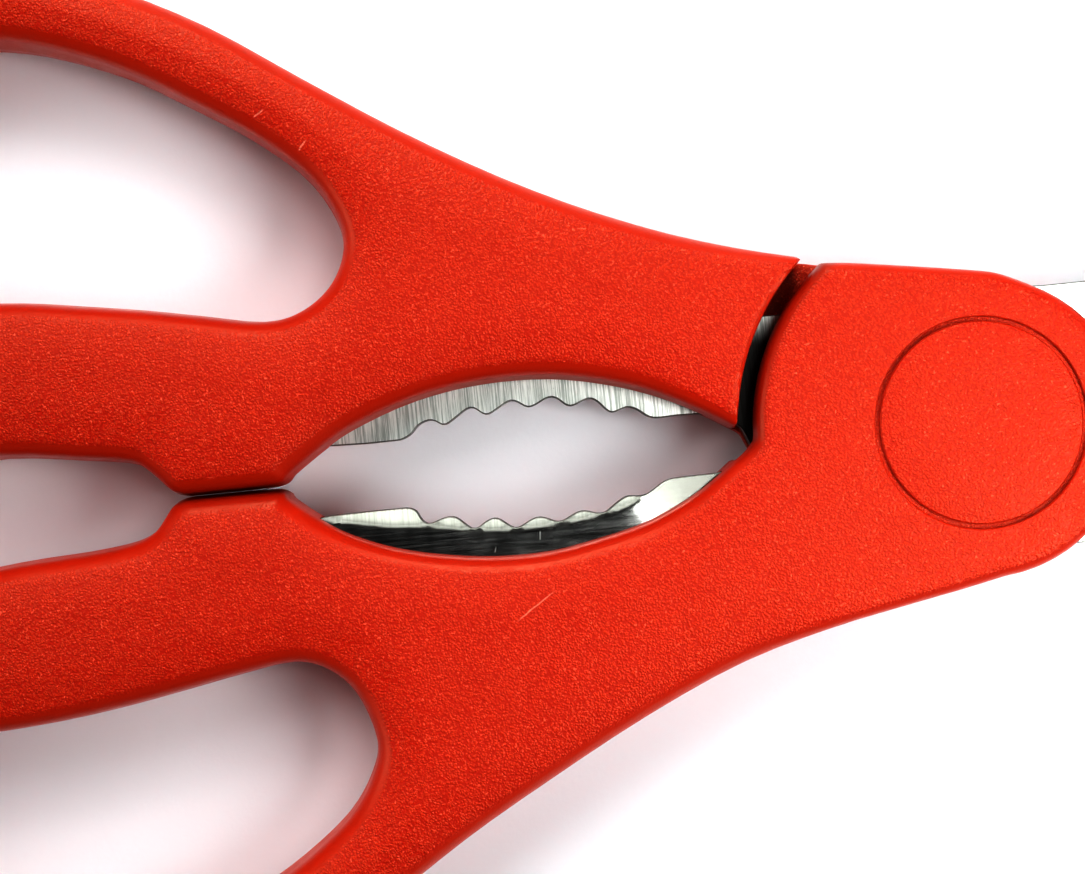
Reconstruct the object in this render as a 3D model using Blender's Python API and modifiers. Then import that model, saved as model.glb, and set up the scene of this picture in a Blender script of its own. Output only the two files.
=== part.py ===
"""Poultry shears: two moulded handles, two blades whose tangs are gripping jaws, one pivot.

The pivot axis is the world Z axis and the shears lie on their back face at z = 0.
+X runs along the blades to their tips.  The front half (handle at -Y, blade spine at +Y)
is modelled in its own frame, whose z = 0 is the plane between the blades.  The back half
is the same design turned half a turn about X.
"""
import math

import bmesh
import bpy
from mathutils import Matrix

MM = 0.001

# Handles and hub plates, millimetres
HANDLE_HALF = 6.0
HUB_PLATE_RADIUS = 21.4
HUB_NOSE_RADIUS = 14.5
HUB_NOSE_CENTRE = (0.0, -0.4)
HUB_CLEAR_RADIUS = 22.9
HUB_PLATE_UNDER = 2.8
RIM_BEVEL = 1.0
RIM_BEVEL_SEGMENTS = 2
CURVE_STEPS = 3
SHORTEST_EDGE = 0.3
MERGE_DISTANCE = 0.00001
CUTTER_OVERRUN = 1.0

# Blades, millimetres
BLADE_INNER = 0.15
BLADE_OUTER = 2.5
TANG_CLEARANCE = 0.3
TANG_POCKET_ROOF = 2.75
EDGE_FLAT = 0.45
GRIND_WIDTH = 6.5
GRIND_LEAD = 0.8
GRIND_OVERRUN = 15.0
GRIND_SLOPE = math.radians(16)
NOTCH_CENTRE = (22.0, -3.6)
NOTCH_RADIUS = 3.2

# Pivot stack, millimetres
CAP_RADIUS = 9.75
CAP_RECESS_RADIUS = 10.05
CAP_UNDER = 4.4
CAP_RECESS_FLOOR = 4.1
CAP_POCKET_RADIUS = 7.2
CAP_POCKET_ROOF = 5.35
CAP_EDGE_BEVEL = 0.3
HUB_BORE_RADIUS = 6.8
SHANK_RADIUS = 3.0
NECK_SIDE = 5.6
NECK_SLOT_SIDE = 6.2
BLADE_BORE_RADIUS = 3.3
SCREW_HEAD_RADIUS = 5.4
SCREW_HEAD_UNDER = 3.45
SCREW_HEAD_TOP = 4.9
SCREW_SLOT_WIDTH = 1.2
SCREW_SLOT_FLOOR = 4.2
SCREW_HEAD_CHAMFER = 0.5
SCREW_END = -5.05
SCREW_END_CHAMFER = 0.4
WASHER_RADIUS = 5.8
WASHER_BORE_RADIUS = 3.3
WASHER_NEAR = 2.75
WASHER_FAR = 3.15
SPRING_WASHER_NEAR = 3.4
SPRING_WASHER_THICKNESS = 0.15
SPRING_WASHER_RISE = 0.15
NUT_NEAR = 4.2
NUT_FAR = 5.1
NUT_RADIUS = 5.6
NUT_BORE_RADIUS = 3.2
FRICTION_POCKET_RADIUS = 8.6
FRICTION_POCKET_DEPTH = 0.45
FRICTION_WASHER_RADIUS = 8.2
FRICTION_WASHER_HALF = 0.35
FRICTION_BORE_RADIUS = 4.4

# Each handle's outline as stretches, in its own half's frame, millimetres.  The hub's nose
# is an arc about a point just off the pivot, and the plate's inner side is an arc about it.
HUB_TOP = [(-10.6, 16.45), (-6.0, 15.75), (-1.6, 15.05), (1.9, 14.45), (3.6, 13.95)]
FRONT_OUTER_EDGE = [
    (-3.6, -15.8), (-8.5, -16.7), (-16.0, -18.2), (-24.0, -20.6), (-33.8, -24.9), (-43.7, -30.1),
    (-52.0, -34.8), (-60.0, -40.0), (-68.0, -45.0), (-76.0, -49.3), (-85.0, -52.8),
]
FRONT_INNER_EDGE = [
    (-92.5, -4.3), (-85.5, -3.9), (-81.3, -3.4), (-79.2, -2.6), (-78.0, -1.3),
    (-77.0, -0.2), (-75.7, 0.25),
]
FRONT_EYE_EDGE = [
    (-66.8, 0.25), (-65.1, -1.1), (-62.5, -3.1), (-60.0, -4.6), (-56.0, -6.2),
    (-51.3, -7.3), (-46.5, -7.9), (-41.6, -7.9), (-36.7, -7.1), (-31.7, -5.9),
    (-26.6, -3.6), (-22.2, -0.4),
]
FRONT_FINGER_HOLE = [
    (-60.0, -24.6), (-60.9, -27.9), (-63.4, -31.4), (-68.0, -35.0), (-73.0, -38.0),
    (-78.0, -40.8), (-83.5, -43.1), (-89.5, -44.8), (-95.5, -45.3), (-102.0, -44.2),
    (-108.2, -41.0), (-112.6, -36.0), (-114.4, -30.1), (-113.0, -25.1), (-109.0, -21.9),
    (-103.0, -20.6), (-96.0, -20.4), (-90.3, -20.0), (-84.5, -19.3), (-78.5, -18.3),
    (-72.5, -17.2), (-67.2, -16.5), (-63.9, -17.5), (-61.4, -20.1),
]
BACK_OUTER_EDGE = [
    (-3.6, -15.6), (-8.5, -16.3), (-16.0, -17.6), (-24.2, -20.0), (-33.8, -23.7), (-42.8, -28.1),
    (-51.8, -33.4), (-60.8, -39.4), (-69.0, -45.0), (-77.0, -49.2), (-85.5, -52.4),
]
BACK_INNER_EDGE = [
    (-92.7, -5.7), (-85.5, -4.8), (-80.8, -4.05), (-79.2, -3.1), (-77.9, -1.8),
    (-76.9, -0.9), (-75.7, -0.55),
]
BACK_EYE_EDGE = [
    (-66.8, -0.55), (-65.0, -1.7), (-62.0, -3.7), (-59.5, -5.1), (-54.7, -6.9),
    (-49.8, -8.0), (-44.9, -8.4), (-40.0, -8.2), (-35.3, -7.3), (-30.6, -5.8),
    (-26.1, -3.6), (-22.2, -1.2),
]
BACK_FINGER_HOLE = [
    (-58.6, -23.0), (-59.5, -26.6), (-62.0, -30.3), (-66.6, -34.2), (-71.8, -37.6),
    (-76.7, -40.6), (-82.0, -43.0), (-88.0, -44.9), (-94.5, -45.6), (-101.5, -44.5),
    (-107.8, -41.2), (-112.4, -36.1), (-114.4, -30.1), (-113.0, -25.1), (-109.2, -22.2),
    (-103.0, -21.1), (-96.0, -21.0), (-90.0, -20.6), (-84.0, -19.7), (-78.0, -18.7),
    (-72.5, -17.6), (-66.8, -16.5), (-63.0, -17.2), (-60.0, -19.5),
]
# Both loops close round the same way behind the finger holes
LOOP_END = [
    (-94.0, -54.2), (-103.0, -53.7), (-111.5, -50.5), (-118.3, -44.7), (-122.6, -36.8),
    (-124.0, -28.5), (-122.2, -20.3), (-117.0, -12.9), (-109.3, -8.0), (-100.5, -5.4),
]

# The blade's outline as stretches in the front half's frame, millimetres
SPINE = [(83.6, 2.9), (80.0, 5.0), (72.0, 7.7), (58.0, 10.4), (42.0, 12.0), (25.0, 12.5), (8.0, 12.5)]
HUB_BACK = [(8.0, 12.5), (0.0, 12.7), (-8.0, 11.9), (-14.5, 9.3), (-18.8, 5.2), (-20.8, 1.0), (-22.2, -1.9)]
FRONT_JAW = [
    (-24.7, -2.3), (-29.3, -2.4), (-30.7, -3.0), (-32.2, -3.8), (-33.7, -3.6), (-35.0, -4.3),
    (-36.3, -5.1), (-38.0, -4.6), (-39.3, -5.0), (-40.5, -5.5), (-42.1, -4.8), (-43.4, -5.1),
    (-44.7, -5.7), (-46.3, -4.5), (-47.6, -4.8), (-48.7, -5.4), (-50.3, -4.0), (-51.8, -4.1),
    (-53.0, -4.5), (-53.8, -3.6), (-54.8, -2.7), (-62.8, -2.8),
]
BACK_JAW = [
    (-25.8, -3.5), (-30.3, -3.5), (-31.6, -4.3), (-32.8, -4.9), (-34.4, -4.4), (-35.4, -5.4),
    (-36.4, -6.1), (-38.3, -5.4), (-39.2, -6.1), (-40.2, -6.6), (-42.2, -5.7), (-43.1, -6.2),
    (-44.1, -6.6), (-46.3, -5.4), (-47.2, -5.9), (-48.1, -6.3), (-50.5, -4.8), (-51.2, -5.2),
    (-52.1, -5.5), (-53.4, -4.9), (-54.9, -3.8), (-61.7, -3.9),
]
TANG_END = [(-66.0, -4.6), (-66.6, -7.2), (-65.4, -9.8)]
TANG_BACK = [
    (-65.4, -9.8), (-58.0, -12.4), (-48.0, -14.2), (-36.0, -13.9), (-24.0, -12.6),
    (-12.0, -12.2), (0.0, -12.0), (7.0, -10.6), (12.0, -7.0), (15.2, -3.0),
]
CUTTING_EDGE = [(15.2, -3.0), (50.0, -2.0), (80.0, -0.9)]
TIP = [(80.0, -0.9), (83.0, -0.4), (84.3, 1.0), (83.6, 2.9)]


def clear_objects():
    for old in list(bpy.data.objects):
        bpy.data.objects.remove(old, do_unlink=True)


def new_collection(name):
    collection = bpy.data.collections.new(name)
    bpy.context.scene.collection.children.link(collection)
    return collection


def plain_material(name, colour, roughness, metallic):
    material = bpy.data.materials.new(name)
    material.use_nodes = True
    shader = material.node_tree.nodes["Principled BSDF"]
    shader.inputs["Base Color"].default_value = (*colour, 1.0)
    shader.inputs["Roughness"].default_value = roughness
    shader.inputs["Metallic"].default_value = metallic
    return material


def arc(radius, start, end, count, centre=(0.0, 0.0)):
    """Points on a circle, from start to end in degrees."""
    points = []
    for index in range(count + 1):
        angle = math.radians(start + (end - start) * index / count)
        points.append((centre[0] + radius * math.cos(angle), centre[1] + radius * math.sin(angle)))
    return points


def smooth(points, steps=CURVE_STEPS, closed=False):
    """A Catmull-Rom run through the points, which keeps every one of them."""
    count = len(points)
    spans = count if closed else count - 1
    run = []
    for index in range(spans):
        if closed:
            p0, p1, p2, p3 = (points[(index + shift) % count] for shift in (-1, 0, 1, 2))
        else:
            p0 = points[max(index - 1, 0)]
            p1 = points[index]
            p2 = points[index + 1]
            p3 = points[min(index + 2, count - 1)]
        for step in range(steps):
            t = step / steps
            run.append(tuple(
                0.5 * (2 * b + (c - a) * t + (2 * a - 5 * b + 4 * c - d) * t ** 2
                       + (3 * b - a - 3 * c + d) * t ** 3)
                for a, b, c, d in zip(p0, p1, p2, p3)))
    if not closed:
        run.append(points[-1])
    return run


def joined(*stretches):
    """One closed loop from stretches that end where the next begins."""
    loop = []
    for stretch in stretches:
        for point in stretch:
            if not loop or math.dist(point, loop[-1]) > SHORTEST_EDGE:
                loop.append(point)
    if math.dist(loop[0], loop[-1]) < SHORTEST_EDGE:
        loop.pop()
    return loop


def grown(loop, distance):
    """The loop moved outwards along its own normals."""
    area = sum(a[0] * b[1] - b[0] * a[1] for a, b in zip(loop, loop[1:] + loop[:1]))
    side = 1.0 if area > 0 else -1.0
    result = []
    for index, (x, y) in enumerate(loop):
        before = loop[index - 1]
        after = loop[(index + 1) % len(loop)]
        along_x = after[0] - before[0]
        along_y = after[1] - before[1]
        length = math.hypot(along_x, along_y)
        result.append((x + side * distance * along_y / length, y - side * distance * along_x / length))
    return result


def hide_cutter(cutter):
    cutter.hide_render = True
    cutter.display_type = "WIRE"


def place(obj, parent, collection, material=None):
    for old in list(obj.users_collection):
        old.objects.unlink(obj)
    collection.objects.link(obj)
    obj.parent = parent
    if material is not None:
        obj.data.materials.clear()
        obj.data.materials.append(material)
    else:
        hide_cutter(obj)
    return obj


def flat_solid(name, loops, low, high, parent, collection, material=None):
    """A plate of the given outlines between two heights, made from a 2D curve."""
    curve = bpy.data.curves.new(name + "_outline", "CURVE")
    curve.dimensions = "2D"
    curve.fill_mode = "BOTH"
    curve.extrude = (high - low) / 2 * MM
    for loop in loops:
        spline = curve.splines.new("POLY")
        spline.points.add(len(loop) - 1)
        for point, (x, y) in zip(spline.points, loop):
            point.co = (x * MM, y * MM, 0.0, 1.0)
        spline.use_cyclic_u = True
    outline = bpy.data.objects.new(name + "_outline", curve)
    bpy.context.scene.collection.objects.link(outline)
    evaluated = outline.evaluated_get(bpy.context.evaluated_depsgraph_get())
    mesh = bpy.data.meshes.new_from_object(evaluated)
    mesh.name = name
    bpy.data.objects.remove(outline, do_unlink=True)
    body = bmesh.new()
    body.from_mesh(mesh)
    bmesh.ops.remove_doubles(body, verts=body.verts, dist=MERGE_DISTANCE)
    cap_seams = [edge for edge in body.edges if all(abs(face.normal.z) > 0.9 for face in edge.link_faces)]
    bmesh.ops.dissolve_limit(body, angle_limit=math.radians(1), verts=[], edges=cap_seams)
    bmesh.ops.translate(body, vec=(0.0, 0.0, (low + high) / 2 * MM), verts=body.verts)
    bmesh.ops.recalc_face_normals(body, faces=body.faces)
    body.to_mesh(mesh)
    body.free()
    return place(bpy.data.objects.new(name, mesh), parent, collection, material)


def turned_solid(name, profile, sides, parent, collection, material=None):
    """A closed profile of (radius, height) pairs, down its outer side, turned about Z."""
    mesh = bpy.data.meshes.new(name)
    body = bmesh.new()
    points = [body.verts.new((radius * MM, 0.0, height * MM)) for radius, height in profile]
    closed = profile[0][0] > 0
    for first, second in zip(points, points[1:] + points[:1] if closed else points[1:]):
        body.edges.new((first, second))
    body.to_mesh(mesh)
    body.free()
    turned = place(bpy.data.objects.new(name, mesh), parent, collection, material)
    screw = turned.modifiers.new("Turn", "SCREW")
    screw.axis = "Z"
    screw.steps = sides
    screw.render_steps = sides
    screw.use_merge_vertices = True
    screw.merge_threshold = MERGE_DISTANCE
    screw.use_smooth_shade = True
    return turned


def cylinder(name, radius, low, high, sides, parent, collection, material=None):
    mesh = bpy.data.meshes.new(name)
    body = bmesh.new()
    bmesh.ops.create_cone(
        body, cap_ends=True, segments=sides, radius1=radius * MM, radius2=radius * MM,
        depth=(high - low) * MM,
        matrix=Matrix.Translation((0.0, 0.0, (low + high) / 2 * MM)))
    body.to_mesh(mesh)
    body.free()
    return place(bpy.data.objects.new(name, mesh), parent, collection, material)


def block(name, size, matrix, parent, collection):
    """A box of the given size, whose bottom face is centred on the matrix's origin."""
    mesh = bpy.data.meshes.new(name)
    body = bmesh.new()
    bmesh.ops.create_cube(body, size=1.0)
    bmesh.ops.scale(body, vec=[side * MM for side in size], verts=body.verts)
    bmesh.ops.translate(body, vec=(0.0, 0.0, size[2] / 2 * MM), verts=body.verts)
    bmesh.ops.transform(body, matrix=matrix, verts=body.verts)
    body.to_mesh(mesh)
    body.free()
    return place(bpy.data.objects.new(name, mesh), parent, collection)


def cut(target, cutter):
    boolean = target.modifiers.new("Cut " + cutter.name, "BOOLEAN")
    boolean.operation = "DIFFERENCE"
    boolean.solver = "EXACT"
    boolean.object = cutter


def round_edges(target, width, segments):
    bevel = target.modifiers.new("Rounded edges", "BEVEL")
    bevel.width = width * MM
    bevel.segments = segments
    bevel.limit_method = "ANGLE"
    bevel.angle_limit = math.radians(60)
    bevel.use_clamp_overlap = False


def shade_round(target):
    target.data.shade_smooth()
    target.data.set_sharp_from_angle(angle=math.radians(40))


def handle_outline(outer_edge, inner_edge, eye_edge):
    hub_side = arc(HUB_PLATE_RADIUS, 178.5, 128.7, 12)
    hub_nose = arc(HUB_NOSE_RADIUS, 66.0, -86.0, 23, HUB_NOSE_CENTRE)
    hub_top = smooth(hub_side[-1:] + HUB_TOP + hub_nose[:1])
    loop_edge = smooth(hub_nose[-1:] + outer_edge + LOOP_END + inner_edge)
    return joined(smooth(eye_edge), hub_side, hub_top, hub_nose, loop_edge)


def blade_outline(jaw):
    return joined(
        smooth(SPINE), smooth(HUB_BACK), smooth(HUB_BACK[-1:] + jaw, 2),
        smooth(jaw[-1:] + TANG_END), smooth(TANG_BACK), CUTTING_EDGE, smooth(TIP))


def build_handle(name, outline, finger_hole, jaw, parent, parts, cutters, material):
    handle = flat_solid(
        name, [outline, smooth(finger_hole, closed=True)],
        -HANDLE_HALF, HANDLE_HALF, parent, parts, material)
    round_edges(handle, RIM_BEVEL, RIM_BEVEL_SEGMENTS)
    clearance = cylinder(
        name + "_hub_clearance", HUB_CLEAR_RADIUS, -HANDLE_HALF - CUTTER_OVERRUN, HUB_PLATE_UNDER,
        96, parent, cutters)
    pocket = flat_solid(
        name + "_tang_pocket", [grown(blade_outline(jaw), TANG_CLEARANCE)],
        BLADE_INNER - TANG_CLEARANCE, TANG_POCKET_ROOF, parent, cutters)
    recess = cylinder(
        name + "_cap_recess", CAP_RECESS_RADIUS, CAP_RECESS_FLOOR, HANDLE_HALF + CUTTER_OVERRUN,
        64, parent, cutters)
    bore = cylinder(
        name + "_hub_bore", HUB_BORE_RADIUS, HUB_PLATE_UNDER - CUTTER_OVERRUN,
        HANDLE_HALF + CUTTER_OVERRUN, 48, parent, cutters)
    for cutter in (clearance, pocket, recess, bore):
        cut(handle, cutter)
    shade_round(handle)
    return handle


def build_blade(name, jaw, parent, parts, cutters, material):
    blade = flat_solid(
        name, [blade_outline(jaw)], BLADE_INNER, BLADE_OUTER, parent, parts, material)
    start_x, start_y = CUTTING_EDGE[0]
    end_x, end_y = CUTTING_EDGE[-1]
    along = math.atan2(end_y - start_y, end_x - start_x)
    length = GRIND_LEAD + math.dist(CUTTING_EDGE[0], CUTTING_EDGE[-1]) + GRIND_OVERRUN
    grind_matrix = (
        Matrix.Translation((start_x * MM, start_y * MM, (BLADE_INNER + EDGE_FLAT) * MM))
        @ Matrix.Rotation(along, 4, "Z")
        @ Matrix.Rotation(GRIND_SLOPE, 4, "X")
        @ Matrix.Translation(((length / 2 - GRIND_LEAD) * MM, 0.0, 0.0)))
    grind = block(
        name + "_grind", (length, GRIND_WIDTH * 4, GRIND_WIDTH), grind_matrix, parent, cutters)
    pocket = cylinder(
        name + "_friction_pocket", FRICTION_POCKET_RADIUS, -CUTTER_OVERRUN,
        BLADE_INNER + FRICTION_POCKET_DEPTH, 48, parent, cutters)
    cut(blade, grind)
    cut(blade, pocket)
    return blade


def build_cap(name, parent, parts, material):
    cap = turned_solid(
        name,
        [(0.0, HANDLE_HALF), (CAP_RADIUS - CAP_EDGE_BEVEL, HANDLE_HALF),
         (CAP_RADIUS, HANDLE_HALF - CAP_EDGE_BEVEL), (CAP_RADIUS, CAP_UNDER),
         (CAP_POCKET_RADIUS, CAP_UNDER), (CAP_POCKET_RADIUS, CAP_POCKET_ROOF),
         (0.0, CAP_POCKET_ROOF)],
        48, parent, parts, material)
    return cap


def build_ring(name, outer, inner, low, high, parent, parts, material, sides=36):
    return turned_solid(
        name, [(outer, high), (outer, low), (inner, low), (inner, high)],
        sides, parent, parts, material)


def build_screw(parent, parts, cutters, material):
    """Turned screw whose square neck sits in the front blade, with a driver slot."""
    screw = turned_solid(
        "pivot_screw",
        [(0.0, SCREW_HEAD_TOP), (SCREW_HEAD_RADIUS - SCREW_HEAD_CHAMFER, SCREW_HEAD_TOP),
         (SCREW_HEAD_RADIUS, SCREW_HEAD_TOP - SCREW_HEAD_CHAMFER),
         (SCREW_HEAD_RADIUS, SCREW_HEAD_UNDER), (SHANK_RADIUS, SCREW_HEAD_UNDER),
         (SHANK_RADIUS, SCREW_END + SCREW_END_CHAMFER),
         (SHANK_RADIUS - SCREW_END_CHAMFER, SCREW_END), (0.0, SCREW_END)],
        36, parent, parts, material)
    neck = block(
        "screw_neck", (NECK_SIDE, NECK_SIDE, BLADE_OUTER - BLADE_INNER),
        Matrix.Translation((0.0, 0.0, BLADE_INNER * MM)), parent, cutters)
    union = screw.modifiers.new("Square neck", "BOOLEAN")
    union.operation = "UNION"
    union.solver = "EXACT"
    union.object = neck
    slot = block(
        "screw_slot", (SCREW_HEAD_RADIUS * 3, SCREW_SLOT_WIDTH, SCREW_HEAD_TOP),
        Matrix.Translation((0.0, 0.0, SCREW_SLOT_FLOOR * MM)), parent, cutters)
    cut(screw, slot)
    return screw


def build_nut(parent, parts, cutters, material):
    """The nut is behind the back blade but turns with the screw."""
    nut = cylinder("pivot_nut", NUT_RADIUS, -NUT_FAR, -NUT_NEAR, 6, parent, parts, material)
    bore = cylinder(
        "nut_bore", NUT_BORE_RADIUS, -NUT_FAR - CUTTER_OVERRUN, -NUT_NEAR + CUTTER_OVERRUN,
        36, parent, cutters)
    cut(nut, bore)
    return nut


def build_spring_washer(parent, parts, material):
    """A cone spring washer: its rim rests on the flat washer, its crown meets the nut."""
    rim = SPRING_WASHER_NEAR
    crown = SPRING_WASHER_NEAR + SPRING_WASHER_RISE
    thickness = SPRING_WASHER_THICKNESS
    return turned_solid(
        "spring_washer",
        [(WASHER_BORE_RADIUS, crown + thickness), (WASHER_RADIUS, rim + thickness),
         (WASHER_RADIUS, rim), (WASHER_BORE_RADIUS, crown)],
        36, parent, parts, material)


def pivot_empty(name, turn):
    empty = bpy.data.objects.new(name, None)
    empty.location = (0.0, 0.0, HANDLE_HALF * MM)
    empty.rotation_euler = (turn, 0.0, 0.0)
    bpy.context.scene.collection.objects.link(empty)
    return empty


def main():
    clear_objects()
    parts = new_collection("poultry_shears")
    cutters = new_collection("cutters")
    red_plastic = plain_material("red_plastic", (0.72, 0.026, 0.008), 0.42, 0.0)
    blade_steel = plain_material("blade_steel", (0.62, 0.62, 0.60), 0.30, 1.0)
    fastener_steel = plain_material("fastener_steel", (0.55, 0.55, 0.54), 0.35, 1.0)
    nylon = plain_material("nylon", (0.82, 0.80, 0.74), 0.50, 0.0)

    front = pivot_empty("front_half_pivot", 0.0)
    back = pivot_empty("back_half_pivot", math.pi)
    bpy.context.view_layer.update()

    build_handle(
        "front_handle", handle_outline(FRONT_OUTER_EDGE, FRONT_INNER_EDGE, FRONT_EYE_EDGE),
        FRONT_FINGER_HOLE, FRONT_JAW, front, parts, cutters, red_plastic)
    build_handle(
        "back_handle", handle_outline(BACK_OUTER_EDGE, BACK_INNER_EDGE, BACK_EYE_EDGE),
        BACK_FINGER_HOLE, BACK_JAW, back, parts, cutters, red_plastic)

    front_blade = build_blade("front_blade", FRONT_JAW, front, parts, cutters, blade_steel)
    neck_hole = block(
        "neck_hole", (NECK_SLOT_SIDE, NECK_SLOT_SIDE, BLADE_OUTER + 2 * CUTTER_OVERRUN),
        Matrix.Translation((0.0, 0.0, -CUTTER_OVERRUN * MM)), front, cutters)
    cut(front_blade, neck_hole)

    back_blade = build_blade("back_blade", BACK_JAW, back, parts, cutters, blade_steel)
    round_hole = cylinder(
        "round_hole", BLADE_BORE_RADIUS, -CUTTER_OVERRUN, BLADE_OUTER + CUTTER_OVERRUN,
        36, back, cutters)
    cut(back_blade, round_hole)
    notch = cylinder(
        "bone_notch", NOTCH_RADIUS, -CUTTER_OVERRUN, BLADE_OUTER + CUTTER_OVERRUN,
        32, back, cutters)
    notch.location = (NOTCH_CENTRE[0] * MM, NOTCH_CENTRE[1] * MM, 0.0)
    cut(back_blade, notch)

    build_cap("front_pivot_cap", front, parts, red_plastic)
    build_cap("back_pivot_cap", back, parts, red_plastic)
    build_screw(front, parts, cutters, fastener_steel)
    build_ring(
        "front_washer", WASHER_RADIUS, WASHER_BORE_RADIUS, WASHER_NEAR, WASHER_FAR,
        front, parts, fastener_steel)
    build_ring(
        "back_washer", WASHER_RADIUS, WASHER_BORE_RADIUS, WASHER_NEAR, WASHER_FAR,
        back, parts, fastener_steel)
    build_spring_washer(back, parts, fastener_steel)
    build_nut(front, parts, cutters, fastener_steel)
    build_ring(
        "friction_washer", FRICTION_WASHER_RADIUS, FRICTION_BORE_RADIUS,
        -FRICTION_WASHER_HALF, FRICTION_WASHER_HALF, front, parts, nylon)
    bpy.context.view_layer.update()


main()
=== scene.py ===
"""Looks of the poultry shears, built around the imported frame.  All lengths are in metres."""
import math

import bmesh
import bpy
import numpy as np
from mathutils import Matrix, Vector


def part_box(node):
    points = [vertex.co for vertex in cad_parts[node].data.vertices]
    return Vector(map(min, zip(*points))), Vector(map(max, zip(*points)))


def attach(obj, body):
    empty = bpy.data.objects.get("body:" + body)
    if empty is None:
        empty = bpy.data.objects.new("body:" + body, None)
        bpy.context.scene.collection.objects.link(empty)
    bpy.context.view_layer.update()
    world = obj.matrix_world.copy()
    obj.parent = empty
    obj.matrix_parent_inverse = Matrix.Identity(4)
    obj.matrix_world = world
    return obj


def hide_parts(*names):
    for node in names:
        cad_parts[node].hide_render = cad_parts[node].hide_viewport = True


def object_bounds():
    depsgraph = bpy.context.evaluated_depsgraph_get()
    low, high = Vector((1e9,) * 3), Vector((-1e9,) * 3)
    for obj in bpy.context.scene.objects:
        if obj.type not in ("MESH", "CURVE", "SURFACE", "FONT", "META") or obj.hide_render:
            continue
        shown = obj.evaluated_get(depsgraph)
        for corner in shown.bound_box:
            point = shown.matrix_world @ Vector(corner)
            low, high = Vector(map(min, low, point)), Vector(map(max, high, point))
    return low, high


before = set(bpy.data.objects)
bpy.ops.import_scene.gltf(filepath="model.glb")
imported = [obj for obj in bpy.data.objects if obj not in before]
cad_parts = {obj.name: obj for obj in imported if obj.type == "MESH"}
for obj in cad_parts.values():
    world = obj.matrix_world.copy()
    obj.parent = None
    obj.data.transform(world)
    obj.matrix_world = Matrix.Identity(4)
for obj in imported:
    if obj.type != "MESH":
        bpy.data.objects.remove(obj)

import openvdb
from mathutils import Matrix, Vector
from mathutils.geometry import delaunay_2d_cdt

MM = 0.001
CAD_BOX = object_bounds()

# Frame sizes: the shears lie on z = 0 and the blades meet on the middle plane
LOW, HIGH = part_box("front_handle")
MIDDLE = (LOW[2] + HIGH[2]) / 2
FACE_INSET = 0.01 * MM
HALF = (HIGH[2] - LOW[2]) / 2 - FACE_INSET
BLADE_LOW, BLADE_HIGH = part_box("front_blade")
BLADE_INNER = BLADE_LOW[2] - MIDDLE
BLADE_OUTER = BLADE_HIGH[2] - MIDDLE
CAP_LOW, CAP_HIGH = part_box("front_pivot_cap")
CAP_RADIUS = (CAP_HIGH[0] - CAP_LOW[0]) / 2
CAP_UNDER = CAP_LOW[2] - MIDDLE

# Outlines cut from the CAD nodes, in each half's own frame
HANDLE_CUT_HEIGHT = 3.5 * MM
BLADE_CUT_HEIGHT = BLADE_INNER + 0.25 * MM
CUT_WELD = 1e-6
CUT_TOLERANCE = 1e-8
SHORTEST_CUT_EDGE = 0.2 * MM
HANDLE_SPACING = 0.5 * MM
DISTANCE_BATCH = 3000

# Moulded handles
VOXEL = 0.38 * MM
FIELD_LIMIT = 3.9 * VOXEL
GRID_MARGIN = 4 * VOXEL
WALL_INSET = 0.02 * MM
DRAFT = math.tan(math.radians(5.0))
HUB_TO_ARM = (20 * MM, 34 * MM)
ARM_FILLET = 1.45 * MM
HUB_FILLET = 1.1 * MM
CROWN = 1.05 * MM
CROWN_REACH = 6.5 * MM
HUB_CROWN_SHARE = 0.1
HUB_CLEAR_RADIUS = 22.9 * MM
DRAFT_BLEND_RADIUS = 36 * MM
PLATE_UNDER = BLADE_OUTER + 0.12 * MM
HUB_END_ROUNDING = 0.35 * MM
LAND_ADVANCE = 0.15 * MM
LAND_LEFT = (-78.5 * MM, -76.8 * MM)
LAND_RIGHT = (-66.4 * MM, -64.6 * MM)
LAND_EDGE = (-3.0 * MM, -1.2 * MM)
SLOT_CLEARANCE = 0.07 * MM
SLOT_UNDERCUT = 0.4 * MM
HANDLE_SHARP_ANGLE = 40

# Pivot caps and their recesses
TURNED_SIDES = 128
LIP_STEPS = 5
LIP_OFFSET = 1e-7
CAP_RECESS_RADIUS = CAP_RADIUS + 0.25 * MM
CAP_RECESS_FLOOR = CAP_UNDER - 0.3 * MM
CAP_LIP = 0.2 * MM
CAP_FACE_RADIUS = CAP_RADIUS - 0.16 * MM
CAP_SKIRT_RADIUS = CAP_RECESS_RADIUS - 0.01 * MM
CAP_GROOVE_DEPTH = 0.5 * MM
CAP_POCKET_RADIUS = 7.2 * MM
CAP_POCKET_ROOF = 5.35 * MM
HUB_BORE_RADIUS = 6.8 * MM

# Blades
BLADE_SPACING = 0.3 * MM
EDGE_ROUNDING = 0.12 * MM
ROUNDING_MIDDLE = 0.3
THINNEST_SHARE = 0.3
RIM_CLEARANCE = 0.45 * MM
RING_CLEARANCE = 0.3 * MM
RING_SIDES = 96
BORE_SIDES = 48
TRIANGULATION_TOLERANCE = 1e-5
COARSE_SPACING = 0.9 * MM
FINE_SPACING = 0.4 * MM
FINE_LEFT = -68 * MM
FINE_RIGHT = -20 * MM
FINE_BOTTOM = -16 * MM
EASING_SPACING = 0.12 * MM
EASING_REACH = 0.35 * MM
EASING_STEPS = 12
EASED_LEFT = (-66 * MM, -63 * MM)
EASED_RIGHT = (-26 * MM, -23 * MM)
EASED_EDGE = (-9 * MM, -8 * MM)
CUTTING_EDGE_START = (15.2 * MM, -3.0 * MM)
CUTTING_EDGE_END = (80.0 * MM, -0.9 * MM)
GRIND_FLAT = 0.45 * MM
GRIND_SLOPE = math.tan(math.radians(16))
GRIND_RUN_OUT = 1.0 * MM
GRIND_RUN_OUT_SLOPE = 0.6
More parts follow.
